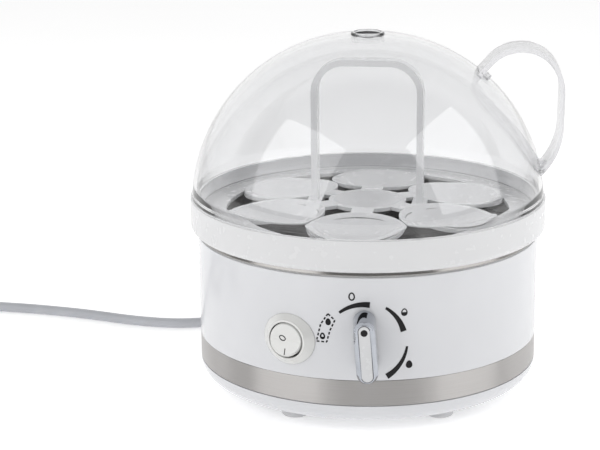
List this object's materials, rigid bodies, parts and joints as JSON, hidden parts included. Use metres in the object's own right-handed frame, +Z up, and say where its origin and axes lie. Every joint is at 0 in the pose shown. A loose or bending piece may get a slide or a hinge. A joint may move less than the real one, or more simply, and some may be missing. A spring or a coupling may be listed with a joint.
{
  "type": "egg cooker",
  "caption": "Round steam egg cooker: clear domed lid with ear handle, white cup tray with bow, steel bowl, white housing with steel band, knob and rocker switch.",
  "frame": {"origin": "on the body's vertical axis, at the level of the table it stands on", "axes": "+Z up, -Y towards the user (the knob's side), +X to the user's right, where the lid's ear is"},
  "size_m": [0.3966, 0.2179, 0.1808],
  "materials": {
    "clear_lid": "clear, glossy",
    "tray_plastic": "milky white, smooth",
    "bowl_steel": "polished stainless",
    "gasket_silicone": "matt",
    "heater_aluminium": "as rolled",
    "heater_sheath": "oxidised sheath",
    "contact_brass": "plain",
    "bracket_steel": "zinc plated",
    "screw_steel": "zinc plated",
    "housing_plastic": "white, glossy",
    "band_steel": "fine brushed",
    "foot_rubber": "matt",
    "knob_chrome": "satin chrome",
    "knob_satin": "white, smooth",
    "mark_black": "matt black",
    "inner_plastic": "plain",
    "switch_clear": "milky, translucent",
    "lamp_glass": "neon lamp",
    "board_resin": "printed circuit board",
    "wire_sheath": "silicone sleeve",
    "cord_sheath": "light grey, satin",
    "contact_nickel": "nickel plated"
  },
  "bodies": {
    "base": {"housing_shell": "housing_plastic", "decor_band": "band_steel", "base_plate": "housing_plastic", "rubber_feet": "foot_rubber", "base_screws": "screw_steel", "heating_bowl": "bowl_steel", "bowl_gasket": "gasket_silicone", "heat_spreader": "heater_aluminium", "heating_element": "heater_sheath", "heater_terminals": "contact_brass", "thermostat": "bracket_steel", "thermal_fuse": "bracket_steel", "bowl_brackets": "bracket_steel", "bracket_screws": "screw_steel", "rotary_control": "bracket_steel", "control_nut": "contact_brass", "switch_bezel": "switch_clear", "switch_lamp": "lamp_glass", "switch_terminals": "contact_brass", "control_board": "board_resin", "board_posts": "inner_plastic", "relay": "inner_plastic", "buzzer": "mark_black", "capacitors": "inner_plastic", "terminal_block": "inner_plastic", "internal_wiring": "wire_sheath", "cord_gland": "cord_sheath", "cord_clamp": "inner_plastic", "clamp_screws": "screw_steel", "power_cord": "cord_sheath", "cord_coil": "cord_sheath", "cord_end": "cord_sheath", "plug_body": "cord_sheath", "plug_pins": "contact_nickel"},
    "tray": {"egg_tray": "tray_plastic", "tray_handle": "tray_plastic"},
    "lid": {"lid_dome": "clear_lid", "vent_ring": "clear_lid", "lid_handle": "clear_lid"},
    "knob": {"knob_body": "knob_chrome", "knob_insert": "knob_satin", "knob_pointer": "mark_black", "control_shaft": "inner_plastic"},
    "rocker": {"switch_rocker": "switch_clear"}
  },
  "joints": [
    {"name": "tray_lift", "type": "slide", "parent": "base", "child": "tray", "axis": [0, 0, 1], "range_m": [0, 0.04]},
    {"name": "lid_lift", "type": "slide", "parent": "tray", "child": "lid", "axis": [0, 0, 1], "range_m": [0, 0.1]},
    {"name": "knob_turn", "type": "hinge", "parent": "base", "child": "knob", "pos_m": [-0.00075, -0.0864, 0.0478], "axis": [0.0087, 1, 0], "range_deg": [-100, 150]},
    {"name": "switch_rock", "type": "hinge", "parent": "base", "child": "rocker", "pos_m": [-0.03787, -0.07766, 0.046], "axis": [0.8988, -0.4384, 0], "range_deg": [0, 16]}
  ]
}
